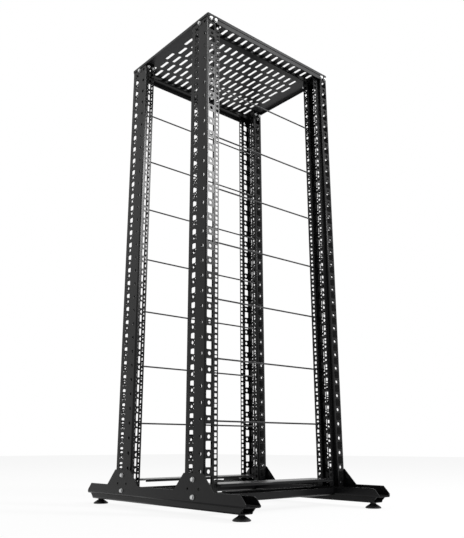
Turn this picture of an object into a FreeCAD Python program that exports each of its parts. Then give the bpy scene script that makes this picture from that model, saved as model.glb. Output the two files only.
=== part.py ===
import FreeCAD, Part
import math
import os

# Four post open frame rack, 32 units high, in millimetres.
# X runs to the right, Y to the back and Z up. The origin is on the floor under the middle of the rack.

Vector = FreeCAD.Vector
ALONG_X = Vector(1, 0, 0)
ALONG_Y = Vector(0, 1, 0)
ALONG_Z = Vector(0, 0, 1)
ORIGIN = Vector(0, 0, 0)

# Rack grid: one unit holds three square holes, and the posts carry a whole number of units
unit_height = 44.45
unit_count = 32
rail_opening = 450.0
rail_hole_inset = 7.55
rail_hole_side = 9.5
rail_hole_rise = 6.35
rail_hole_step = 15.875
first_unit_z = 68.0
rail_height = unit_count * unit_height
last_unit_z = first_unit_z + rail_height

# How far a cutting shape reaches past the sheet that it cuts
cut_past = 1.0

# Post: one folded sheet. Outwards the web has a flange, a step and a rail, inwards a flange and a lip
post_sheet = 2.0
post_depth = 84.0
post_flange = 34.0
post_rail = 23.5
rail_setback = 12.0
inward_flange = 36.5
inward_lip = 24.0
post_bend = 2.5
bend_facets = 3
post_head = 23.0
post_top_z = last_unit_z + post_head
rail_end = post_flange + post_rail

# Half sizes over the outer faces of the posts
depth_over_posts = 440.0
half_width = rail_opening / 2 + rail_end
half_depth = depth_over_posts / 2

# Windows in the outward flange of each post, one in each unit
window_width = 21.0
window_height = 22.0
window_u = post_flange / 2

# Foot beams: a wide channel with gussets, and a narrower channel under it
beam_sheet = 2.5
beam_width = 51.0
beam_bottom_z = 32.0
beam_outer_wall = 31.0
beam_inner_wall = 25.0
beam_overhang = 166.0
beam_nose = 10.0
beam_chamfer = 20.0
gusset_height = 45.0
gusset_flare = 44.0
gusset_root = 1.0
channel_bottom_z = 16.0
channel_inset = 4.0
channel_end_inset = 13.0
channel_chamfer = 12.0
channel_overhang = beam_overhang - channel_end_inset
post_bottom_z = beam_bottom_z + beam_sheet
notch_clearance = 1.0

# Levelling feet: a bell shaped pad on a stud
pad_radius = 23.25
pad_rim = 3.0
pad_neck_radius = 11.0
pad_sides = 20
stud_side = 8.0
stud_top_z = 28.0
foot_inset = 43.0
foot_overhang = beam_overhang - foot_inset

# Top panel: a shallow tray with staggered slots
panel_sheet = 2.0
panel_lip = 10.0
panel_apron = 27.0
apron_clearance = 1.5
slot_length = 46.0
slot_width = 10.5
slot_pitch = 29.4
slot_columns = 17
slot_rows = 7
slot_margin = 30.0

# Cross members between the posts
crossbar_sheet = 2.0
top_crossbar_setback = 44.0
top_crossbar_height = 14.0
crossbar_apron_clearance = 2.0
top_crossbar_z = post_top_z - top_crossbar_height
bottom_crossbar_z = 79.5
bottom_crossbar_lip = 7.5
tongue_clearance = 1.0
tie_channel_sheet = 2.5
tie_channel_top_z = 53.0
tie_channel_setback = 1.0

# Tie rods across the front and the back, one at every fourth unit, between the lips of the posts
rod_radius = 2.5
rod_sides = 8
rod_step_units = 4
rod_count = unit_count // rod_step_units - 1


def box(x0, x1, y0, y1, z0, z1):
    return Part.makeBox(x1 - x0, y1 - y0, z1 - z0, Vector(x0, y0, z0))


def folded_face(corners, sheet, bend):
    """Section of a sheet folded at right angles, whose middle line runs through the corners."""
    points = [Vector(x, y, 0) for x, y in corners]
    runs = [(b - a).normalize() for a, b in zip(points, points[1:])]
    sides = [Vector(-run.y, run.x, 0) for run in runs]

    def side_line(offset):
        line = [points[0] + sides[0] * offset]
        for index in range(1, len(runs)):
            before, after = runs[index - 1], runs[index]
            turn = 1 if sides[index - 1].dot(after) > 0 else -1
            radius = bend - turn * offset
            centre = points[index] + (after - before) * bend
            for facet in range(bend_facets + 1):
                angle = math.radians(90 * facet / bend_facets)
                line.append(centre + before * (radius * math.sin(angle)) - after * (radius * math.cos(angle)))
        return line + [points[-1] + sides[-1] * offset]

    outline = side_line(sheet / 2) + side_line(-sheet / 2)[::-1]
    return Part.Face(Part.makePolygon(outline + outline[:1]))


def turned_facets(profile, sides):
    """Turned piece standing on the origin, from (radius, height) steps, with flat sides for round ones."""
    turns = [math.radians(360 * (side + 0.5) / sides) for side in range(sides)]
    rings = [[Vector(radius * math.cos(turn), radius * math.sin(turn), z) for turn in turns]
             for radius, z in profile]
    faces = [Part.Face(Part.makePolygon(ring + ring[:1])) for ring in (rings[0], rings[-1])]
    for low, high in zip(rings, rings[1:]):
        for side in range(sides):
            ahead = (side + 1) % sides
            corners = [low[side], low[ahead], high[ahead], high[side], low[side]]
            faces.append(Part.Face(Part.makePolygon(corners)))
    solid = Part.Solid(Part.Shell(faces))
    solid.fix(0.001, 0.001, 0.001)
    return solid if solid.Volume > 0 else solid.reversed()


def polygon_plate(outline, thickness, place, along):
    """Flat plate from a closed outline of vectors, thickened along one axis."""
    wire = Part.makePolygon([place + point for point in outline + outline[:1]])
    return Part.Face(wire).extrude(along * thickness)


def lying_channel(section, x0, x1):
    """Channel along X, whose section is given as (depth, height) corners from a folded face."""
    upright = section.copy()
    upright.rotate(ORIGIN, ALONG_X, 90)
    upright.rotate(ORIGIN, ALONG_Z, 90)
    upright.translate(Vector(x0, 0, 0))
    return upright.extrude(ALONG_X * (x1 - x0))


def mirrored_x(shape):
    return shape.mirror(ORIGIN, ALONG_X)


def mirrored_y(shape):
    return shape.mirror(ORIGIN, ALONG_Y)


def post():
    """Front left post, with windows in its outward flange and square holes in its outward rail."""
    half = post_sheet / 2
    near, far = half, post_depth - half
    near_rail = rail_setback + half
    near_side, far_side = post_flange - half, inward_flange - half
    corners = [(rail_end, near_rail), (near_side, near_rail), (near_side, near), (half, near)]
    corners += [(half, far), (far_side, far), (far_side, post_depth - inward_lip)]
    section = folded_face(corners, post_sheet, post_bend)
    section.translate(Vector(-half_width, -half_depth, post_bottom_z))
    blank = section.extrude(ALONG_Z * (post_top_z - post_bottom_z))
    # The rails end above the inner wall of the foot beam
    notch_top = beam_bottom_z + beam_inner_wall + notch_clearance
    notch_x = -half_width + beam_width - 2 * beam_sheet - notch_clearance
    cuts = [box(notch_x, -half_width + rail_end + cut_past,
                -half_depth - cut_past, -half_depth + post_depth + cut_past,
                post_bottom_z - cut_past, notch_top)]
    for index in range(unit_count):
        unit_z = first_unit_z + index * unit_height
        window_z = unit_z + (unit_height - window_height) / 2
        window_x = -half_width + window_u - window_width / 2
        cuts.append(box(window_x, window_x + window_width,
                        -half_depth - cut_past, -half_depth + post_sheet + cut_past,
                        window_z, window_z + window_height))
        for hole in range(3):
            hole_z = unit_z + rail_hole_rise + hole * rail_hole_step - rail_hole_side / 2
            hole_x = -rail_opening / 2 - rail_hole_inset - rail_hole_side / 2
            rail_y = -half_depth + rail_setback
            cuts.append(box(hole_x, hole_x + rail_hole_side,
                            rail_y - cut_past, rail_y + post_sheet + cut_past,
                            hole_z, hole_z + rail_hole_side))
    return blank.cut(Part.Compound(cuts))


def long_wall(rear_corners, sheet, wall_x):
    """Long wall of a foot member, from the (depth, height) corners of its rear end; the front is alike."""
    rear = [Vector(0, y, z) for y, z in rear_corners]
    front = [Vector(0, -y, z) for y, z in reversed(rear_corners)]
    return polygon_plate(rear + front, sheet, Vector(wall_x, 0, 0), ALONG_X)


def foot_beam():
    """Left foot beam: a channel open at the top, whose outer wall carries a gusset at each post."""
    outer_top = beam_bottom_z + beam_outer_wall
    inner_top = beam_bottom_z + beam_inner_wall
    outer_x = -half_width - beam_sheet
    end = half_depth + beam_overhang
    nose = [(end, beam_bottom_z), (end, beam_bottom_z + beam_nose)]
    outer = long_wall(nose + [(end - beam_chamfer, outer_top)], beam_sheet, outer_x)
    inner = long_wall(nose + [(end - beam_chamfer, inner_top)], beam_sheet, outer_x + beam_width - beam_sheet)
    floor = box(outer_x, outer_x + beam_width, -end, end, beam_bottom_z, beam_bottom_z + beam_sheet)
    gusset_top = outer_top + gusset_height
    gusset = [Vector(0, -half_depth - gusset_flare, outer_top - gusset_root),
              Vector(0, -half_depth, gusset_top), Vector(0, -half_depth + post_depth, gusset_top),
              Vector(0, -half_depth + post_depth + gusset_flare, outer_top - gusset_root)]
    front_gusset = polygon_plate(gusset, beam_sheet, Vector(outer_x, 0, 0), ALONG_X)
    return floor.multiFuse([outer, inner, front_gusset, mirrored_y(front_gusset)]).removeSplitter()


def foot_channel():
    """Left lower channel, open at the top, closed by the foot beam above it."""
    outer_x = -half_width - beam_sheet + channel_inset
    width = beam_width - 2 * channel_inset
    end = half_depth + channel_overhang
    floor_end = end - channel_chamfer
    nose = [(floor_end, channel_bottom_z), (end, beam_bottom_z)]
    outer = long_wall(nose, beam_sheet, outer_x)
    inner = long_wall(nose, beam_sheet, outer_x + width - beam_sheet)
    floor = box(outer_x, outer_x + width, -floor_end, floor_end,
                channel_bottom_z, channel_bottom_z + beam_sheet)
    channel = floor.multiFuse([outer, inner]).removeSplitter()
    foot_x = outer_x + width / 2
    half = stud_side / 2
    for foot_y in (-half_depth - foot_overhang, half_depth + foot_overhang):
        channel = channel.cut(box(foot_x - half, foot_x + half, foot_y - half, foot_y + half,
                                  channel_bottom_z - cut_past, channel_bottom_z + beam_sheet + cut_past))
    return channel


def levelling_foot():
    """Front left foot: a bell on a flat rim, and the square stud that goes into the channel."""
    foot_x = -half_width - beam_sheet + beam_width / 2
    bell_profile = [(pad_radius, 0), (pad_radius, pad_rim), (pad_neck_radius, channel_bottom_z)]
    bell = turned_facets(bell_profile, pad_sides)
    half = stud_side / 2
    foot = bell.fuse(box(-half, half, -half, half, pad_rim, stud_top_z)).removeSplitter()
    foot.translate(Vector(foot_x, -half_depth - foot_overhang, 0))
    return foot


def top_panel():
    """Slotted tray over the four posts: its edge is turned down outside them, and lower between them."""
    reach_x, reach_y = half_width + panel_sheet, half_depth + panel_sheet
    top_z = post_top_z + panel_sheet
    tray = box(-reach_x, reach_x, -reach_y, reach_y, post_top_z - panel_lip, top_z)
    hollow = box(-half_width, half_width, -half_depth, half_depth,
                 post_top_z - panel_lip - cut_past, post_top_z)
    row_pitch = (depth_over_posts - 2 * slot_margin - slot_length) / (slot_rows - 1)
    cuts = [hollow]
    for row in range(slot_rows):
        columns = slot_columns - row % 2
        slot_y = -half_depth + slot_margin + row * row_pitch
        for column in range(columns):
            slot_x = (column - (columns - 1) / 2) * slot_pitch - slot_width / 2
            cuts.append(box(slot_x, slot_x + slot_width, slot_y, slot_y + slot_length,
                            post_top_z - cut_past, top_z + cut_past))
    # An apron hangs inside the front and rear edges, between the flanges of the posts
    apron_x = half_width - post_flange - apron_clearance
    apron = box(-apron_x, apron_x, -half_depth, -half_depth + panel_sheet, top_z - panel_apron, post_top_z)
    return tray.cut(Part.Compound(cuts)).multiFuse([apron, mirrored_y(apron)])


def crossbar(setback, bottom_z, top_z, lips_up):
    """Front channel between two posts, with a tongue between the rail and the lip of each up to its web."""
    half = crossbar_sheet / 2
    depth = post_depth - setback
    base, tip = (half, top_z - bottom_z) if lips_up else (top_z - bottom_z - half, 0)
    corners = [(half, tip), (half, base), (depth - half, base), (depth - half, tip)]
    bar_reach = half_width - rail_end
    bar = lying_channel(folded_face(corners, crossbar_sheet, crossbar_sheet), -bar_reach, bar_reach)
    bar.translate(Vector(0, -half_depth + setback, bottom_z))
    tongue_y = -half_depth + max(setback, rail_setback + post_sheet + tongue_clearance)
    tongue_end = -half_depth + post_depth - inward_lip - tongue_clearance
    tongue_z = bottom_z + base - half
    web_reach = half_width - post_sheet
    tongue = box(-web_reach, web_reach, tongue_y, tongue_end, tongue_z, tongue_z + crossbar_sheet)
    return bar.fuse(tongue).removeSplitter()


def tie_channel():
    """Front channel between the two foot beams, open at the top like them."""
    half = tie_channel_sheet / 2
    height = tie_channel_top_z - beam_bottom_z
    depth = post_depth - 2 * tie_channel_setback
    corners = [(half, height), (half, half), (depth - half, half), (depth - half, height)]
    section = folded_face(corners, tie_channel_sheet, tie_channel_sheet)
    reach = half_width + beam_sheet - beam_width
    channel = lying_channel(section, -reach, reach)
    channel.translate(Vector(0, -half_depth + tie_channel_setback, beam_bottom_z))
    return channel


def tie_rod(index):
    """Front tie rod, standing between the lips of the two front posts at half their depth."""
    reach = half_width - inward_flange
    corner_radius = rod_radius / math.cos(math.pi / rod_sides)
    rod = turned_facets([(corner_radius, 0), (corner_radius, 2 * reach)], rod_sides)
    rod.rotate(ORIGIN, ALONG_Y, 90)
    rod_y = -half_depth + post_depth - inward_lip / 2
    rod.translate(Vector(-reach, rod_y, first_unit_z + (index + 1) * rod_step_units * unit_height))
    return rod


def rack_pieces():
    front_left_post = post()
    left_beam = foot_beam()
    left_channel = foot_channel()
    front_left_foot = levelling_foot()
    pieces = {"front_left_post": front_left_post, "front_right_post": mirrored_x(front_left_post),
              "rear_left_post": mirrored_y(front_left_post), "top_panel": top_panel(),
              "rear_right_post": mirrored_y(mirrored_x(front_left_post)),
              "left_foot_beam": left_beam, "right_foot_beam": mirrored_x(left_beam),
              "left_foot_channel": left_channel, "right_foot_channel": mirrored_x(left_channel),
              "front_left_foot": front_left_foot, "front_right_foot": mirrored_x(front_left_foot),
              "rear_left_foot": mirrored_y(front_left_foot),
              "rear_right_foot": mirrored_y(mirrored_x(front_left_foot))}
    top_crossbar = crossbar(top_crossbar_setback, top_crossbar_z, post_top_z, True)
    # The rear one is set the same way round, clear of the rear apron of the panel
    rear_shift = depth_over_posts - post_depth - panel_sheet - crossbar_apron_clearance
    pieces["top_front_crossbar"] = top_crossbar
    pieces["top_rear_crossbar"] = top_crossbar.translated(ALONG_Y * rear_shift)
    bottom_crossbar_bottom_z = bottom_crossbar_z - bottom_crossbar_lip
    pairs = {"bottom_{}_crossbar": crossbar(0, bottom_crossbar_bottom_z, bottom_crossbar_z, False),
             "{}_tie_channel": tie_channel()}
    for index in range(rod_count):
        pairs["{}_tie_rod_%d" % (index + 1)] = tie_rod(index)
    for name, piece in pairs.items():
        pieces[name.format("front")] = piece
        pieces[name.format("rear")] = mirrored_y(piece)
    return pieces


os.makedirs("parts", exist_ok=True)
for node, solid in sorted(rack_pieces().items()):
    solid = solid.Solids[0] if len(solid.Solids) == 1 else solid
    print(node, len(solid.Solids), solid.isValid(), round(solid.Volume))
    solid.exportStep("parts/%s.step" % node)
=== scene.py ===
import bpy
import bmesh
import math
from mathutils import Matrix, Vector


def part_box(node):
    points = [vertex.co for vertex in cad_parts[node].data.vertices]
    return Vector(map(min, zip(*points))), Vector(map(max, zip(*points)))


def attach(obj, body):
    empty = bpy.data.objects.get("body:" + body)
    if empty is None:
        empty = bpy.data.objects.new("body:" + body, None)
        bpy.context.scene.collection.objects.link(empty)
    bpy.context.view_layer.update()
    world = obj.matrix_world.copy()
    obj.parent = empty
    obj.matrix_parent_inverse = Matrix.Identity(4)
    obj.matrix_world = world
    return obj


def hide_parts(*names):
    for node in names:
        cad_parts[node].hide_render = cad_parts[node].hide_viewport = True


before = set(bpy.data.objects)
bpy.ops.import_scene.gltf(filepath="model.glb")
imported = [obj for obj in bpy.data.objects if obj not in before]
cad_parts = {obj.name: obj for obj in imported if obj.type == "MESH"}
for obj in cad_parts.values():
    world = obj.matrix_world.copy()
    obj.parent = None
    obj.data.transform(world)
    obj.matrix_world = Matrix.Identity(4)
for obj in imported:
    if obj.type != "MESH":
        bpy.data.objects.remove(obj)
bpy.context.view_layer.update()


# Camera. It stands low, in front of the rack and to its left, and looks up along the height of the posts.
# Its place is in metres from the floor under the middle of the rack.
lens_heading, lens_pitch, lens_roll = math.radians(40.68), math.radians(15.58), math.radians(-0.1)
camera_data = bpy.data.cameras.new("camera")
camera_data.sensor_fit = "HORIZONTAL"
camera_data.sensor_width = 36.0
camera_data.lens = 49.48
camera_data.clip_end = 50.0
camera = bpy.data.objects.new("camera", camera_data)
camera.rotation_mode = "XYZ"
camera.matrix_world = (Matrix.Translation((-1.362, -1.591, 0.175))
                       @ Matrix.Rotation(-lens_heading, 4, "Z")
                       @ Matrix.Rotation(math.pi / 2 + lens_pitch, 4, "X")
                       @ Matrix.Rotation(lens_roll, 4, "Z"))
bpy.context.collection.objects.link(camera)
bpy.context.scene.camera = camera


# Shader maths, for every finish. A Knob wraps a socket, so that an expression on it adds its Math nodes, and
# it makes any other node from its type, its settings and the values or links of its sockets.
class Knob:
    def __init__(self, tree, socket):
        self.tree, self.socket = tree, socket

    def node(self, kind, settings=None, **inputs):
        made = self.tree.nodes.new(kind)
        for key, value in (settings or {}).items():
            if key == "stops":
                ramp = made.color_ramp.elements
                for index, (place, colour) in enumerate(value):
                    stop = ramp[index] if index < 2 else ramp.new(place)
                    stop.position, stop.color = place, colour
            else:
                setattr(made, key, value)
        for key, value in inputs.items():
            name = int(key[1:]) if key[0] == "_" and key[1:].isdigit() else key.replace("_", " ")
            target = made.inputs[name]
            if isinstance(value, Knob):
                self.tree.links.new(value.socket, target)
            else:
                target.default_value = value
        return made

    def out(self, kind, settings=None, pick=0, **inputs):
        return Knob(self.tree, self.node(kind, settings, **inputs).outputs[pick])

    def maths(self, operation, other=0.0, turned=False):
        first, second = (other, self) if turned else (self, other)
        return self.out("ShaderNodeMath", {"operation": operation}, _0=first, _1=second)

    def __add__(self, other):
        return self.maths("ADD", other)

    def __radd__(self, other):
        return self.maths("ADD", other, True)

    def __sub__(self, other):
        return self.maths("SUBTRACT", other)

    def __rsub__(self, other):
        return self.maths("SUBTRACT", other, True)

    def __mul__(self, other):
        return self.maths("MULTIPLY", other)

    def __rmul__(self, other):
        return self.maths("MULTIPLY", other, True)

    def held(self):
        return self.out("ShaderNodeClamp", None, Value=self)


def new_finish(name):
    """Empty material with a Principled shader, and a Knob on Object coordinates."""
    finish = bpy.data.materials.new(name)
    finish.use_nodes = True
    tree = finish.node_tree
    tree.nodes.clear()
    output = tree.nodes.new("ShaderNodeOutputMaterial")
    shader = tree.nodes.new("ShaderNodeBsdfPrincipled")
    tree.links.new(shader.outputs["BSDF"], output.inputs["Surface"])
    place = Knob(tree, tree.nodes.new("ShaderNodeTexCoord").outputs["Object"])
    return finish, shader, place


def feed(shader, socket_name, knob):
    knob.tree.links.new(knob.socket, shader.inputs[socket_name])


# Studio. A plain pale floor, a pale world behind it, and two soft lamps at a plain level. None of it belongs
# to the rack.
floor_mesh = bpy.data.meshes.new("floor")
floor_mesh.from_pydata([(-9, -6, 0), (9, -6, 0), (9, 12, 0), (-9, 12, 0)], [], [(0, 1, 2, 3)])
floor = bpy.data.objects.new("floor", floor_mesh)
bpy.context.collection.objects.link(floor)
floor_finish, floor_shader, floor_place = new_finish("floor_white")
floor_shader.inputs["Base Color"].default_value = (0.86, 0.86, 0.86, 1)
floor_shader.inputs["Roughness"].default_value = 0.9
floor_shader.inputs["Specular IOR Level"].default_value = 0.0


def seen_rays(tree):
    """How much of the white background a ray sees: all of it from the camera, off gloss and through glass."""
    rays = tree.nodes.new("ShaderNodeLightPath")
    kinds = ("Is Camera Ray", "Is Glossy Ray", "Is Transmission Ray")
    camera_ray, glossy_ray, glass_ray = (Knob(tree, rays.outputs[kind]) for kind in kinds)
    return (camera_ray + glossy_ray + glass_ray).held()


floor_glow, sky_light = 0.9, 0.3
floor_tree = floor_finish.node_tree
plain_white = floor_place.out("ShaderNodeEmission", None, Color=(1, 1, 1, 1), Strength=1.0)
floor_look = floor_place.node("ShaderNodeMixShader", None, _0=seen_rays(floor_tree) * floor_glow,
                              _1=Knob(floor_tree, floor_shader.outputs["BSDF"]), _2=plain_white)
floor_tree.links.new(floor_look.outputs[0], floor_tree.nodes["Material Output"].inputs["Surface"])
floor_mesh.materials.append(floor_finish)

world = bpy.data.worlds.new("studio")
world.use_nodes = True
bpy.context.scene.world = world
sky = world.node_tree
sky.nodes.clear()
sky_seen = seen_rays(sky)
backdrop = sky_seen.out("ShaderNodeBackground", None, Color=(1, 1, 1, 1),
                        Strength=sky_seen * (1 - sky_light) + sky_light)
sky.links.new(backdrop.socket, sky.nodes.new("ShaderNodeOutputWorld").inputs["Surface"])


def soft_lamp(name, place, aim, size, watts):
    data = bpy.data.lights.new(name, "AREA")
    data.shape = "RECTANGLE"
    data.size, data.size_y = size
    data.energy = watts
    lamp = bpy.data.objects.new(name, data)
    lamp.location = place
    lamp.rotation_euler = (Vector(aim) - Vector(place)).to_track_quat("-Z", "Y").to_euler()
    bpy.context.collection.objects.link(lamp)


soft_lamp("key_lamp", (1.0, -1.95, 2.0), (-0.28, -0.22, 0.95), (0.4, 1.0), 60)
soft_lamp("top_lamp", (0.3, 0.6, 4.5), (0.0, 0.0, 0.0), (3.0, 3.0), 110)
bpy.context.scene.view_settings.view_transform = "Standard"


# Black powder coat on steel sheet: satin, with a fine orange peel and slightly worn patches of sheen. This is
# the coat of posts, beams, channels and crossbars; the top panel has a paler one, and the rods the black coat
# painted paler, as a painted highlight.
coat_reflectance = 0.18


def black_coat(name, colour, rough, peel):
    finish, shader, place = new_finish(name)
    grain = place.out("ShaderNodeTexNoise", None, Vector=place, Scale=1400.0, Detail=2.0)
    cloud = place.out("ShaderNodeTexNoise", None, Vector=place, Scale=7.0, Detail=4.0)
    tone = cloud * 0.5 + 0.75
    tint = place.out("ShaderNodeCombineColor", None, Red=tone, Green=tone, Blue=tone)
    shade = place.out("ShaderNodeMix", {"data_type": "RGBA", "blend_type": "MULTIPLY"}, pick=2,
                      _0=1.0, _6=(*colour, 1.0), _7=tint)
    feed(shader, "Base Color", shade)
    feed(shader, "Roughness", (cloud * 0.14 + (rough - 0.07)).held())
    bump = place.out("ShaderNodeBump", None, Strength=peel, Distance=0.00015, Height=grain)
    feed(shader, "Normal", bump)
    shader.inputs["Specular IOR Level"].default_value = coat_reflectance
    return finish


coat = black_coat("black_powder_coat", (0.004, 0.004, 0.0044), 0.29, 0.2)


# Punched sheet, for every flat of the posts, the channels and the top panel. The outline is a closed flat
# curve; rows of holes with rounded corners are laid in it, it is filled, and it is thickened on both sides of
# its own plane.
hole_series = 6


def punching_tree():
    tree = bpy.data.node_groups.new("punched_sheet", "GeometryNodeTree")
    add = tree.interface.new_socket
    add("Outline", in_out="INPUT", socket_type="NodeSocketGeometry")
    add("Sheet", in_out="INPUT", socket_type="NodeSocketFloat")
    add("Coat", in_out="INPUT", socket_type="NodeSocketMaterial")
    for series in range(1, hole_series + 1):
        for label, kind in (("Width", "Float"), ("Height", "Float"), ("Corner", "Float"), ("Steps", "Int"),
                            ("First", "Vector"), ("Across", "Vector"), ("Along", "Vector"),
                            ("Columns", "Int"), ("Rows", "Int")):
            add("%s %d" % (label, series), in_out="INPUT", socket_type="NodeSocket" + kind)
    add("Punched", in_out="OUTPUT", socket_type="NodeSocketGeometry")
    given = tree.nodes.new("NodeGroupInput")
    ask = Knob(tree, given.outputs[0])

    def value(label):
        return Knob(tree, given.outputs[label])

    joined = tree.nodes.new("GeometryNodeJoinGeometry")
    tree.links.new(given.outputs["Outline"], joined.inputs[0])
    for series in range(1, hole_series + 1):
        def mine(label):
            return value("%s %d" % (label, series))
        hole = ask.out("GeometryNodeCurvePrimitiveQuadrilateral", None, Width=mine("Width"),
                       Height=mine("Height"))
        hole = ask.out("GeometryNodeFilletCurve", {"mode": "POLY"}, Curve=hole, Count=mine("Steps"),
                       Radius=mine("Corner"))
        column = ask.out("GeometryNodeMeshLine", None, Count=mine("Columns"), Start_Location=mine("First"),
                         Offset=mine("Across"))
        row = ask.out("GeometryNodeMeshLine", None, Count=mine("Rows"), Offset=mine("Along"))
        grid = ask.out("GeometryNodeInstanceOnPoints", None, Points=row, Instance=column)
        grid = ask.out("GeometryNodeRealizeInstances", None, Geometry=grid)
        holes = ask.out("GeometryNodeInstanceOnPoints", None, Points=grid, Instance=hole)
        tree.links.new(holes.socket, joined.inputs[0])
    flat = ask.out("GeometryNodeRealizeInstances", None, Geometry=Knob(tree, joined.outputs[0]))
    flat = ask.out("GeometryNodeFillCurve", {"mode": "NGONS"}, Curve=flat)
    half = value("Sheet") * 0.5
    up = ask.out("ShaderNodeCombineXYZ", None, Z=half)
    down = ask.out("ShaderNodeCombineXYZ", None, Z=half * -1.0)
    low = ask.out("GeometryNodeTransform", None, Geometry=flat, Translation=down)
    walls = ask.out("GeometryNodeExtrudeMesh", {"mode": "FACES"}, Mesh=low, Offset=up, Offset_Scale=2.0,
                    Individual=False)
    low = ask.out("GeometryNodeFlipFaces", None, Mesh=low)
    both = tree.nodes.new("GeometryNodeJoinGeometry")
    tree.links.new(low.socket, both.inputs[0])
    tree.links.new(walls.socket, both.inputs[0])
    whole = ask.out("GeometryNodeMergeByDistance", None, Geometry=Knob(tree, both.outputs[0]), Distance=1e-6)
    whole = ask.out("GeometryNodeRealizeInstances", None, Geometry=whole)
    whole = ask.out("GeometryNodeSetMaterial", None, Geometry=whole, Material=value("Coat"))
    tree.links.new(whole.socket, tree.nodes.new("NodeGroupOutput").inputs[0])
    return tree


punching = punching_tree()


def punched_sheet(outline, sheet, finish, series):
    """Plain mesh of a flat punched sheet lying in XY. series holds dictionaries of the tree's own inputs."""
    curve = bpy.data.curves.new("sheet_outline", "CURVE")
    curve.dimensions = "2D"
    curve.fill_mode = "NONE"
    spline = curve.splines.new("POLY")
    spline.points.add(len(outline) - 1)
    for point, (x, y) in zip(spline.points, outline):
        point.co = (x, y, 0, 1)
    spline.use_cyclic_u = True
    blank = bpy.data.objects.new("sheet_blank", curve)
    bpy.context.collection.objects.link(blank)
    modifier = blank.modifiers.new("punching", "NODES")
    modifier.node_group = punching
    given = {"Sheet": sheet, "Coat": finish}
    for number in range(1, hole_series + 1):
        holes = dict(Width=0.01, Height=0.01, Corner=0.001, Steps=1, First=(0, 0, 0), Across=(0, 0, 0),
                     Along=(0, 0, 0), Columns=0, Rows=0)
        holes.update(series[number - 1] if number <= len(series) else {})
        given.update({"%s %d" % (label, number): holes[label] for label in holes})
    for item in punching.interface.items_tree:
        if item.in_out == "INPUT" and item.name in given:
            modifier[item.identifier] = given[item.name]
    made = bpy.data.meshes.new_from_object(blank.evaluated_get(bpy.context.evaluated_depsgraph_get()))
    bpy.data.objects.remove(blank)
    return made


# Folded sheet, for the posts and every channel. The section is folded at right angles along a line; each flat
# is punched, and each fold is a rounded bend, so the edges catch the light as those of the real sheet do.
def eased(corners, steps=5):
    """Outline of (x, y, radius) corners, each rounded to its radius."""
    outline = []
    for index, (x, y, radius) in enumerate(corners):
        here = Vector((x, y))
        if radius == 0:
            outline.append((x, y))
            continue
        back = (Vector(corners[index - 1][:2]) - here).normalized()
        ahead = (Vector(corners[(index + 1) % len(corners)][:2]) - here).normalized()
        opening = back.angle(ahead)
        centre = here + (back + ahead).normalized() * (radius / math.sin(opening / 2))
        first = here + back * (radius / math.tan(opening / 2)) - centre
        last = here + ahead * (radius / math.tan(opening / 2)) - centre
        sweep = first.angle(last)
        for step in range(steps + 1):
            part = step / steps
            spoke = first * math.sin((1 - part) * sweep) + last * math.sin(part * sweep)
            outline.append(tuple(centre + spoke / math.sin(sweep)))
    return outline


def add_bend(into, corner, before, after, sheet, radius, low, high, steps=5):
    """Adds the rounded sheet at one fold line, as a quarter tube from low to high."""
    side = Vector((-before.y, before.x, 0))
    turn = 1 if side.dot(after) > 0 else -1
    centre = corner + (after - before) * radius
    rings = []
    for offset in (sheet / 2, -sheet / 2):
        reach = radius - turn * offset
        for z in (low, high):
            rings.append([into.verts.new(centre + before * (reach * math.sin(angle))
                                         - after * (reach * math.cos(angle)) + Vector((0, 0, z)))
                          for angle in (math.pi / 2 * step / steps for step in range(steps + 1))])
    for first, second in ((0, 1), (3, 2), (1, 3), (2, 0)):
        for a, b, c, d in zip(rings[first], rings[first][1:], rings[second][1:], rings[second]):
            face = into.faces.new((a, b, c, d))
            face.smooth = {first, second} in ({0, 1}, {2, 3})


def folded_sheet(line, sheet, radius, low, high, finish, outlines=None, holes=None):
    """Mesh of a sheet whose section follows the line in XY, and which runs along Z from low to high."""
    whole = bmesh.new()
    points = [Vector((*point, 0)) for point in line]
    runs = [(b - a) for a, b in zip(points, points[1:])]
    for index, run in enumerate(runs):
        start = radius if index > 0 else 0.0
        end = run.length - (radius if index < len(runs) - 1 else 0.0)
        outline = [(start, low), (end, low), (end, high), (start, high)]
        if index in (outlines or {}):
            outline = eased(outlines[index](start, end))
        flat = punched_sheet(outline, sheet, finish, (holes or {}).get(index, []))
        along = run.normalized()
        side = along.cross(Vector((0, 0, 1)))
        upright = Matrix(((along.x, 0, side.x, 0), (along.y, 0, side.y, 0), (0, 1, 0, 0), (0, 0, 0, 1)))
        flat.transform(Matrix.Translation(points[index]) @ upright)
        piece = bmesh.new()
        piece.from_mesh(flat)
        joints = [points[index] + along * reach for reach, inner in
                  ((start, index > 0), (end, index < len(runs) - 1)) if inner]
        seam = [face for face in piece.faces if abs(face.normal.dot(along)) > 0.9 and any(
            abs((face.calc_center_median() - joint).dot(along)) < 1e-5 for joint in joints)]
        bmesh.ops.delete(piece, geom=seam, context="FACES")
        piece.to_mesh(flat)
        piece.free()
        whole.from_mesh(flat)
        bpy.data.meshes.remove(flat)
    for index in range(1, len(points) - 1):
        add_bend(whole, points[index], runs[index - 1].normalized(), runs[index].normalized(),
                 sheet, radius, low, high)
    bmesh.ops.remove_doubles(whole, verts=whole.verts, dist=2e-6)
    bmesh.ops.recalc_face_normals(whole, faces=whole.faces)
    mesh = bpy.data.meshes.new("folded_sheet")
    whole.to_mesh(mesh)
    whole.free()
    return mesh


def placed(name, mesh, place, finish, node=None):
    """Object from a copy of a mesh moved to its place; the CAD node, if one is named, is hidden."""
    copy = mesh.copy()
    copy.name = name
    copy.transform(place)
    if place.determinant() < 0:
        copy.flip_normals()
    copy.materials.clear()
    copy.materials.append(finish)
    made = bpy.data.objects.new(name, copy)
    bpy.context.collection.objects.link(made)
    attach(made, "root")
    if node:
        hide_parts(node)
    return made


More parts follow.
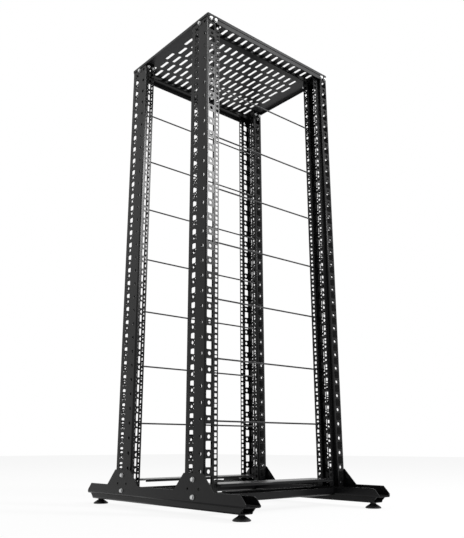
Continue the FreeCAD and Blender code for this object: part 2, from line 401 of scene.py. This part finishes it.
mirror_x, mirror_y = Matrix.Diagonal((-1, 1, 1, 1)), Matrix.Diagonal((1, -1, 1, 1))
corners = {"front_left": Matrix(), "front_right": mirror_x, "rear_left": mirror_y,
           "rear_right": mirror_x @ mirror_y}
length_on_x = Matrix(((0, 0, 1, 0), (1, 0, 0, 0), (0, 1, 0, 0), (0, 0, 0, 1)))
length_on_y = Matrix(((1, 0, 0, 0), (0, 0, 1, 0), (0, 1, 0, 0), (0, 0, 0, 1)))


# Posts. Each is one steel sheet, punched flat and then folded along five lines. Outwards the web carries a
# flange, a step and a rail with the square holes, inwards a flange and a lip. Windows and round holes lighten
# the web and both flanges.
unit = 0.04445
units = 32
first_unit = 0.068
post_low, post_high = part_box("front_left_post")
post_sheet, post_bend = 0.002, 0.0025
post_depth, flange, rail, setback = 0.084, 0.034, 0.0235, 0.012
inward_flange, inward_lip = 0.0365, 0.024
half = post_sheet / 2
post_line = [(flange + rail, setback + half), (flange - half, setback + half), (flange - half, half),
             (half, half), (half, post_depth - half), (inward_flange - half, post_depth - half),
             (inward_flange - half, post_depth - inward_lip)]
notch_top, notch_u = 0.058, 0.045
square_side, square_rises = 0.0095, (0.00635, 0.022225, 0.0381)
rail_hole_in, lip_hole_in = 0.00755, 0.0125
window_wide, window_high = 0.021, 0.022
flange_window_u, inward_window_u = 0.017, 0.0195
round_hole, round_corner = 0.011, 0.00549
small_hole, small_corner = 0.0055, 0.00274
small_aside, small_rise = 0.00825, 0.006


def notched_rail(start, end):
    cut = flange + rail - notch_u
    return [(cut, post_low.z, 0), (end, post_low.z, 0), (end, post_high.z, 0), (start, post_high.z, 0.003),
            (start, notch_top, 0.002), (cut, notch_top, 0)]


def rows_of(width, height, corner, steps, along_line, first_z, count):
    return dict(Width=width, Height=height, Corner=corner, Steps=steps, First=(along_line, first_z, 0.0),
                Along=(0.0, unit, 0.0), Columns=1, Rows=count)


def square_rows(along_line):
    return [rows_of(square_side, square_side, 0.0006, 1, along_line, first_unit + rise, units)
            for rise in square_rises]


def windows(along_line, round_side):
    return [rows_of(window_wide, window_high, 0.003, 3, along_line, first_unit + unit / 2, units),
            rows_of(round_side, round_side, round_side * 0.499, 5, along_line, first_unit, units + 1)]


def clusters(width, height, along_line, window_z, cluster_z):
    """Windows in one column, with a round hole between them that has four small ones round it."""
    rows = [rows_of(width, height, 0.003, 3, along_line, first_unit + window_z, units),
            rows_of(round_hole, round_hole, round_corner, 5, along_line, first_unit + cluster_z, units)]
    for rise in (-small_rise, small_rise):
        rows.append(rows_of(small_hole, small_hole, small_corner, 2, along_line - small_aside,
                            first_unit + cluster_z + rise, units))
        rows[-1].update(Across=(2 * small_aside, 0.0, 0.0), Columns=2)
    return rows


def web_holes(round_v, window_v):
    return clusters(0.018, 0.017, window_v - half, 0.009, 0.035) + [
        rows_of(round_hole, round_hole, round_corner, 5, round_v - half, first_unit, units + 1)]


inward_holes = clusters(window_wide, window_high, inward_window_u - half, 0.018, 0.0395)
# The holes of a web lie at the same distance from its front edge in the front and in the rear posts
round_v, window_v = 0.0165, 0.057
for end_name, web in (("front", web_holes(round_v, window_v)),
                      ("rear", web_holes(post_depth - round_v, post_depth - window_v))):
    post_holes = {0: square_rows(rail_hole_in), 2: windows(flange - half - flange_window_u, round_hole),
                  3: web, 4: inward_holes, 5: square_rows(lip_hole_in - half)}
    post_mesh = folded_sheet(post_line, post_sheet, post_bend, post_low.z, post_high.z, coat,
                             {0: notched_rail}, post_holes)
    for side_name in ("left", "right"):
        corner = "%s_%s" % (end_name, side_name)
        post_place = corners[corner] @ Matrix.Translation((post_low.x, post_low.y, 0))
        placed(corner + "_post_sheet", post_mesh, post_place, coat, corner + "_post")


# Foot beams. A wide channel of thicker sheet, open at the top, in which the posts stand. Its outer wall rises
# to a gusset at each post and is bolted to the web; both walls are cut back at the ends.
beam_low, beam_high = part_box("left_foot_beam")
beam_sheet, beam_bend = 0.0025, 0.0035
beam_wall, beam_inner = 0.031, 0.025
beam_nose, beam_cut = 0.010, 0.020
inner_cut, inner_round = 0.017, 0.018
nut_hole, nut_z, nut_aside = 0.007, 0.068, 0.024
gusset_high, gusset_flare = beam_high.z, 0.044
thick = beam_sheet / 2
front_y = post_low.y
beam_end = beam_high.y
wall_top = beam_low.z + beam_wall


def beam_outer_wall(start, end):
    rear = [(end, beam_end, 0), (gusset_high - beam_low.z - beam_nose, beam_end, 0.004),
            (gusset_high - wall_top, beam_end - beam_cut, 0.004),
            (gusset_high - wall_top, -front_y + gusset_flare, 0.004), (0, -front_y, 0.003),
            (0, -front_y - post_depth, 0.003),
            (gusset_high - wall_top, -front_y - post_depth - gusset_flare, 0.004)]
    return rear + [(s, -y, radius) for s, y, radius in reversed(rear)]


def beam_inner_wall(start, end):
    return [(start, -beam_end, 0), (end, -beam_end + inner_cut, inner_round),
            (end, beam_end - inner_cut, inner_round), (start, beam_end, 0)]


beam_line = [(beam_low.x + thick, gusset_high), (beam_low.x + thick, beam_low.z + thick),
             (beam_high.x - thick, beam_low.z + thick), (beam_high.x - thick, beam_low.z + beam_inner)]
post_middle = front_y + post_depth / 2
nut_row = dict(Width=nut_hole, Height=nut_hole, Corner=0.00349, Steps=4,
               First=(gusset_high - nut_z, post_middle - nut_aside, 0), Across=(0, 2 * nut_aside, 0),
               Along=(0, -2 * post_middle, 0), Columns=2, Rows=2)
beam_mesh = folded_sheet(beam_line, beam_sheet, beam_bend, -beam_end, beam_end, coat,
                         {0: beam_outer_wall, 2: beam_inner_wall}, {0: [nut_row]})
for side_name, side in (("left", Matrix()), ("right", mirror_x)):
    placed(side_name + "_foot_beam_sheet", beam_mesh, side @ length_on_y, coat,
           side_name + "_foot_beam")


# Lower channels. A narrower channel of the same sheet as the foot beam closes it from below. The ends of its
# walls slope in towards its floor, which takes the studs of the levelling feet.
channel_low, channel_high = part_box("left_foot_channel")
channel_end, channel_cut = channel_high.y, 0.012


def channel_wall(start, end):
    rear = [(end, channel_end - channel_cut, 0), (start, channel_end, 0)]
    return rear + [(s, -y, radius) for s, y, radius in reversed(rear)]


channel_line = [(channel_low.x + thick, channel_high.z), (channel_low.x + thick, channel_low.z + thick),
                (channel_high.x - thick, channel_low.z + thick),
                (channel_high.x - thick, channel_high.z)]
channel_mesh = folded_sheet(channel_line, beam_sheet, beam_bend, channel_cut - channel_end,
                            channel_end - channel_cut, coat,
                            {0: channel_wall, 2: lambda start, end: channel_wall(end, start)})
for side_name, side in (("left", Matrix()), ("right", mirror_x)):
    placed(side_name + "_foot_channel_sheet", channel_mesh, side @ length_on_y, coat,
           side_name + "_foot_channel")


# Tie channels. One at the front and one at the back, folded from the sheet of the foot beams and welded
# between them, open at the top like them.
tie_low, tie_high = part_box("front_tie_channel")
tie_line = [(tie_low.y + thick, tie_high.z), (tie_low.y + thick, tie_low.z + thick),
            (tie_high.y - thick, tie_low.z + thick), (tie_high.y - thick, tie_high.z)]
tie_mesh = folded_sheet(tie_line, beam_sheet, beam_bend, tie_low.x, tie_high.x, coat)
for end_name, end_place in (("front", Matrix()), ("rear", mirror_y)):
    placed(end_name + "_tie_channel_sheet", tie_mesh, end_place @ length_on_x, coat,
           end_name + "_tie_channel")


# Crossbars. Folded channels between the posts, two under the top panel with their lips up, and two above the
# tie channels with their lips down. A tongue at each end goes in between rail and lip, up to the web.
bar_sheet, bar_bend = 0.002, 0.0025
top_inset, tongue_overlap = 0.015, 0.03
low_tongue = (0.015, 0.059)
bar_half = bar_sheet / 2
bar_reach = -post_low.x - flange - rail


def joined(parts):
    """One mesh from (mesh, place) pairs. A mirrored place has its faces turned back outwards."""
    whole = bmesh.new()
    for mesh, place in parts:
        copy = mesh.copy()
        copy.transform(place)
        if place.determinant() < 0:
            copy.flip_normals()
        whole.from_mesh(copy)
        bpy.data.meshes.remove(copy)
    mesh = bpy.data.meshes.new("joined_sheets")
    whole.to_mesh(mesh)
    whole.free()
    return mesh


def tongued(tongue_near, tongue_far, reach):
    def outline(start, end):
        near = max(tongue_near - bar_half, start + 0.0005)
        far = tongue_far - bar_half
        right = [(start, bar_reach, 0), (near, bar_reach, 0), (near, reach, 0.003), (far, reach, 0.003),
                 (far, bar_reach, 0), (end, bar_reach, 0)]
        return right + [(s, -x, radius) for s, x, radius in reversed(right)]
    return outline


# How far the front wall stands behind the foremost edge of the bar, and whether the lips turn up
bars = {"bottom": (0.0, False), "top": (top_inset, True)}
for level, (bar_inset, lips_up) in bars.items():
    bar_low, bar_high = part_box("%s_front_crossbar" % level)
    tip, base = (bar_high.z, bar_low.z + bar_half) if lips_up else (bar_low.z, bar_high.z - bar_half)
    bar_line = [(bar_low.y + bar_inset + bar_half, tip), (bar_low.y + bar_inset + bar_half, base),
                (bar_high.y - bar_half, base), (bar_high.y - bar_half, tip)]
    bar_mesh = folded_sheet(bar_line, bar_sheet, bar_bend, -bar_reach, bar_reach, coat,
                            None if lips_up else {1: tongued(*low_tongue, bar_high.x)})
    if lips_up:
        root, bar_front = bar_reach - tongue_overlap, bar_low.y + bar_inset
        tongue = punched_sheet(eased([(bar_low.y, root, 0.004), (bar_front, root, 0),
                                      (bar_front, bar_high.x, 0.003), (bar_low.y, bar_high.x, 0.003)]),
                               bar_sheet, coat, [])
        flat = Matrix(((1, 0, 0, 0), (0, 0, 1, base), (0, 1, 0, 0), (0, 0, 0, 1)))
        other_end = Matrix.Diagonal((1, 1, -1, 1)) @ flat
        bar_mesh = joined([(bar_mesh, Matrix()), (tongue, flat), (tongue, other_end)])
    # The rear bottom crossbar mirrors the front one; the rear top one is the front one moved back
    rear_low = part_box("%s_rear_crossbar" % level)[0]
    rear_place = mirror_y if level == "bottom" else Matrix.Translation((0, rear_low.y - bar_low.y, 0))
    for end_name, end_place in (("front", Matrix()), ("rear", rear_place)):
        bar_node = "%s_%s_crossbar" % (level, end_name)
        placed(bar_node + "_sheet", bar_mesh, end_place @ length_on_x, coat, bar_node)


# Top panel. A shallow tray with staggered slots, turned down at all four edges, with an apron under the front
# and the rear edge between the posts.
panel_coat = black_coat("black_panel_coat", (0.022, 0.022, 0.023), 0.36, 0.2)
panel_low, panel_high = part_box("top_panel")
panel_sheet, panel_bend = 0.002, 0.003
panel_lip, apron_drop, apron_in = 0.012, 0.027, 0.0355
panel_half = panel_sheet / 2
slot_long, slot_wide, slot_pitch, slot_margin = 0.046, 0.0105, 0.0294, 0.030
slot_columns, long_rows, short_rows = 17, 4, 3
row_pitch = (2 * -front_y - 2 * slot_margin - slot_long) / (long_rows + short_rows - 1)
first_row = front_y + slot_margin + slot_long / 2 - (panel_low.y + panel_half)


def slot_rows(columns, rows, first):
    return dict(Width=slot_long, Height=slot_wide, Corner=slot_wide * 0.499, Steps=6,
                First=(first, -(columns - 1) / 2 * slot_pitch, 0.0), Across=(0.0, slot_pitch, 0.0),
                Along=(2 * row_pitch, 0.0, 0.0), Columns=columns, Rows=rows)


top_mid, lip_low = panel_high.z - panel_half, panel_high.z - panel_lip
tray_line = [(panel_low.y + panel_half, lip_low), (panel_low.y + panel_half, top_mid),
             (panel_high.y - panel_half, top_mid), (panel_high.y - panel_half, lip_low)]
tray_reach = panel_high.x - panel_half - panel_bend
tray = folded_sheet(tray_line, panel_sheet, panel_bend, -tray_reach, tray_reach, coat, None,
                    {1: [slot_rows(slot_columns, long_rows, first_row),
                         slot_rows(slot_columns - 1, short_rows, first_row + row_pitch)]})
side_line = [(panel_low.x + panel_half + panel_bend + 0.0002, top_mid), (panel_low.x + panel_half, top_mid),
             (panel_low.x + panel_half, lip_low)]
side_reach = panel_high.y - panel_half - panel_bend
side_lip = folded_sheet(side_line, panel_sheet, panel_bend, -side_reach, side_reach, coat)
apron_reach = -post_low.x - apron_in
apron_line = [(front_y + panel_half, panel_high.z - apron_drop),
              (front_y + panel_half, panel_high.z - panel_sheet)]
apron = folded_sheet(apron_line, panel_sheet, panel_bend, -apron_reach, apron_reach, coat,
                     {0: lambda start, end: [(start, -apron_reach, 0.004), (end, -apron_reach, 0),
                                             (end, apron_reach, 0), (start, apron_reach, 0.004)]})
panel_mesh = joined([(tray, length_on_x), (side_lip, length_on_y), (side_lip, mirror_x @ length_on_y),
                     (apron, length_on_x), (apron, mirror_y @ length_on_x)])
placed("top_panel_sheet", panel_mesh, Matrix(), panel_coat, "top_panel")


# Levelling feet. A moulded bell with hollow sides stands on the floor, and its stud goes up into the lower
# channel. All four are alike.
def turned(profile, sides, crease=32.0):
    """Closed turned mesh round Z, from (radius, height) steps that begin and end on the axis."""
    whole = bmesh.new()
    rings = []
    for radius, z in profile:
        count = sides if radius > 1e-6 else 1
        rings.append([whole.verts.new((radius * math.cos(2 * math.pi * side / sides),
                                       radius * math.sin(2 * math.pi * side / sides), z))
                      for side in range(count)])
    for low, high in zip(rings, rings[1:]):
        for side in range(sides):
            ahead = (side + 1) % sides
            loop = [low[side % len(low)], low[ahead % len(low)],
                    high[ahead % len(high)], high[side % len(high)]]
            face = whole.faces.new(list(dict.fromkeys(loop)))
            face.smooth = True
    bmesh.ops.recalc_face_normals(whole, faces=whole.faces)
    for edge in whole.edges:
        edge.smooth = edge.calc_face_angle(0.0) < math.radians(crease)
    mesh = bpy.data.meshes.new("turned_piece")
    whole.to_mesh(mesh)
    whole.free()
    return mesh


def moulded_black(name):
    """Moulded foot: dark and half matt, with a fine grain and dust in the hollow."""
    finish, shader, place = new_finish(name)
    grain = place.out("ShaderNodeTexNoise", None, Vector=place, Scale=900.0, Detail=3.0)
    dust = place.out("ShaderNodeTexNoise", None, Vector=place, Scale=60.0, Detail=3.0)
    shade = place.out("ShaderNodeMix", {"data_type": "RGBA"}, pick=2, _0=dust * 0.5,
                      _6=(0.012, 0.012, 0.013, 1.0), _7=(0.022, 0.021, 0.020, 1.0))
    feed(shader, "Base Color", shade)
    feed(shader, "Roughness", (grain * 0.2 + 0.45).held())
    feed(shader, "Normal", place.out("ShaderNodeBump", None, Strength=0.3, Distance=0.0001, Height=grain))
    shader.inputs["Specular IOR Level"].default_value = 0.35
    return finish


foot_low, foot_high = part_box("front_left_foot")
pad_radius, neck_radius, neck_z = 0.02325, 0.0085, 0.0135
rim_under, rim_ease, rim_side, rim_top = 0.0012, 0.0008, 0.0024, 0.0032
stud_radius, stud_ease, bell_steps = 0.004, 0.0006, 8
bell = [(0, 0), (pad_radius - rim_under, 0), (pad_radius, rim_ease), (pad_radius, rim_side),
        (pad_radius - rim_ease, rim_top)]
for step in range(1, bell_steps + 1):
    turn = math.pi / 2 * step / bell_steps
    bell.append((neck_radius + (pad_radius - rim_ease - neck_radius) * (1 - math.sin(turn)) ** 0.75,
                 rim_top + (neck_z - rim_top) * (step / bell_steps) ** 0.8))
bell += [(neck_radius, channel_low.z), (stud_radius, channel_low.z), (stud_radius, foot_high.z - stud_ease),
         (stud_radius - stud_ease, foot_high.z), (0, foot_high.z)]
foot_middle = ((foot_low.x + foot_high.x) / 2, (foot_low.y + foot_high.y) / 2)
foot_finish = moulded_black("black_moulded_foot")
foot_mesh = turned(bell, 48)
for corner, place in corners.items():
    placed(corner + "_foot_turned", foot_mesh, place @ Matrix.Translation((*foot_middle, 0)), foot_finish,
           corner + "_foot")


# Tie rods. Round bars welded between the lips of two posts, at every fourth unit, with a small bead at each
# end.
# The rods' colour is the black coat painted paler: a painted highlight for the light the thin bars catch.
rod_paint_with_painted_highlight = black_coat("black_rod_paint_lightened_as_highlight", (0.03, 0.03, 0.031), 0.3, 0.1)
rod_low, rod_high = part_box("front_tie_rod_1")
rod_radius = 0.0025
bead = [(0, 0), (0.0045, 0), (0.0042, 0.0008), (0.0032, 0.0018), (rod_radius, 0.0034)]
rod_length = rod_high.x - rod_low.x
rod_profile = bead + [(radius, rod_length - z) for radius, z in reversed(bead)]
rod_mesh = turned(rod_profile, 20, 60.0)
lying = Matrix.Rotation(math.pi / 2, 4, "Y")
for end_name in ("front", "rear"):
    for number in range(1, 8):
        node = "%s_tie_rod_%d" % (end_name, number)
        low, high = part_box(node)
        middle = (low + high) / 2
        rod_place = Matrix.Translation((low.x, middle.y, middle.z)) @ lying
        placed(node + "_round", rod_mesh, rod_place, rod_paint_with_painted_highlight, node)


# Bolts. Zinc plated hex heads on washers hold the panel to the flanges and the web of each post, and the
# gusset to the web. Two small nuts sit on the inside of the web, behind the round holes of the gusset.
def fastener_tree():
    tree = bpy.data.node_groups.new("hex_fasteners", "GeometryNodeTree")
    for label, kind in (("Places", "Geometry"), ("Facing", "Vector"), ("Across", "Float"),
                        ("Height", "Float"), ("Washer", "Float"), ("Finish", "Material")):
        tree.interface.new_socket(label, in_out="INPUT", socket_type="NodeSocket" + kind)
    tree.interface.new_socket("Bolts", in_out="OUTPUT", socket_type="NodeSocketGeometry")
    given = tree.nodes.new("NodeGroupInput")

    def value(label):
        return Knob(tree, given.outputs[label])

    start = value("Places")
    washer_high = 0.0012
    shank = start.out("GeometryNodeMeshCylinder", None, Vertices=6, Radius=value("Across") * 0.57735,
                      Depth=value("Height") * 0.8)
    rise = start.out("ShaderNodeCombineXYZ", None, Z=value("Height") * 0.4 + washer_high)
    shank = start.out("GeometryNodeTransform", None, Geometry=shank, Translation=rise)
    normal = start.out("ShaderNodeSeparateXYZ", None, pick=2, Vector=start.out("GeometryNodeInputNormal"))
    upward = normal.out("FunctionNodeCompare", {"data_type": "FLOAT", "operation": "GREATER_THAN"},
                        _0=normal, _1=0.9)
    cap = upward.node("GeometryNodeExtrudeMesh", {"mode": "FACES"}, Mesh=shank, Selection=upward,
                      Offset_Scale=value("Height") * 0.2)
    head = start.out("GeometryNodeScaleElements", None, Geometry=Knob(tree, cap.outputs["Mesh"]),
                     Selection=Knob(tree, cap.outputs["Top"]), Scale=0.84)
    washer = start.out("GeometryNodeMeshCylinder", None, Vertices=20, Radius=value("Washer"),
                       Depth=washer_high)
    washer = start.out("GeometryNodeTransform", None, Geometry=washer, Translation=(0, 0, washer_high / 2))
    both = tree.nodes.new("GeometryNodeJoinGeometry")
    for part in (head, washer):
        tree.links.new(part.socket, both.inputs[0])
    turn = start.out("FunctionNodeAlignRotationToVector", {"axis": "Z"}, Vector=value("Facing"))
    bolts = start.out("GeometryNodeInstanceOnPoints", None, Points=value("Places"),
                      Instance=Knob(tree, both.outputs[0]), Rotation=turn)
    bolts = start.out("GeometryNodeRealizeInstances", None, Geometry=bolts)
    bolts = start.out("GeometryNodeSetMaterial", None, Geometry=bolts, Material=value("Finish"))
    tree.links.new(bolts.socket, tree.nodes.new("NodeGroupOutput").inputs[0])
    return tree


fastening = fastener_tree()


def fasteners(name, places, facing, across, height, washer, finish):
    """One plain mesh of the bolts at all four corners, from the places at the front left one. Across, height
    and washer are the width of the hexagon, its height and the radius of the washer."""
    whole = bmesh.new()
    for place in corners.values():
        points = bpy.data.meshes.new("bolt_places")
        points.from_pydata([place @ Vector(point) for point in places], [], [])
        blank = bpy.data.objects.new("bolt_blank", points)
        bpy.context.collection.objects.link(blank)
        modifier = blank.modifiers.new("fastening", "NODES")
        modifier.node_group = fastening
        given = {"Facing": place.to_3x3() @ Vector(facing), "Across": across, "Height": height,
                 "Washer": washer, "Finish": finish}
        for item in fastening.interface.items_tree:
            if item.in_out == "INPUT" and item.name in given:
                modifier[item.identifier] = given[item.name]
        made = bpy.data.meshes.new_from_object(blank.evaluated_get(bpy.context.evaluated_depsgraph_get()))
        bpy.data.objects.remove(blank)
        whole.from_mesh(made)
        bpy.data.meshes.remove(made)
    mesh = bpy.data.meshes.new(name)
    whole.to_mesh(mesh)
    whole.free()
    placed(name, mesh, Matrix(), finish)


def bright_zinc(name):
    """Zinc plating: pale grey metal with a faint mottle."""
    finish, shader, place = new_finish(name)
    mottle = place.out("ShaderNodeTexNoise", None, Vector=place, Scale=350.0, Detail=3.0)
    shade = place.out("ShaderNodeMix", {"data_type": "RGBA"}, pick=2, _0=mottle,
                      _6=(0.46, 0.47, 0.48, 1.0), _7=(0.66, 0.66, 0.65, 1.0))
    feed(shader, "Base Color", shade)
    feed(shader, "Roughness", (mottle * 0.2 + 0.26).held())
    shader.inputs["Metallic"].default_value = 1.0
    return finish


zinc = bright_zinc("bright_zinc")
bolt_z, gusset_bolt_z = post_high.z - 0.0175, (0.092, 0.0475)
bolt_x = (post_low.x + 0.0104, post_low.x + 0.0297)
rear_face = post_low.y + post_depth
top_bolt, gusset_bolt, foot_nut = (0.010, 0.005, 0.0064), (0.010, 0.005, 0.0066), (0.008, 0.004, 0.0055)
fasteners("outward_flange_bolts", [(x, post_low.y, bolt_z) for x in bolt_x], (0, -1, 0), *top_bolt, zinc)
fasteners("inward_flange_bolts", [(x, rear_face, bolt_z) for x in bolt_x], (0, 1, 0), *top_bolt, zinc)
fasteners("web_top_bolts", [(post_low.x, post_middle, bolt_z)], (-1, 0, 0), *top_bolt, zinc)
fasteners("gusset_bolts", [(beam_low.x, post_middle, z) for z in gusset_bolt_z], (-1, 0, 0),
          *gusset_bolt, zinc)
fasteners("foot_nuts", [(post_low.x + post_sheet, post_middle + y, nut_z) for y in (-nut_aside, nut_aside)],
          (1, 0, 0), *foot_nut, zinc)
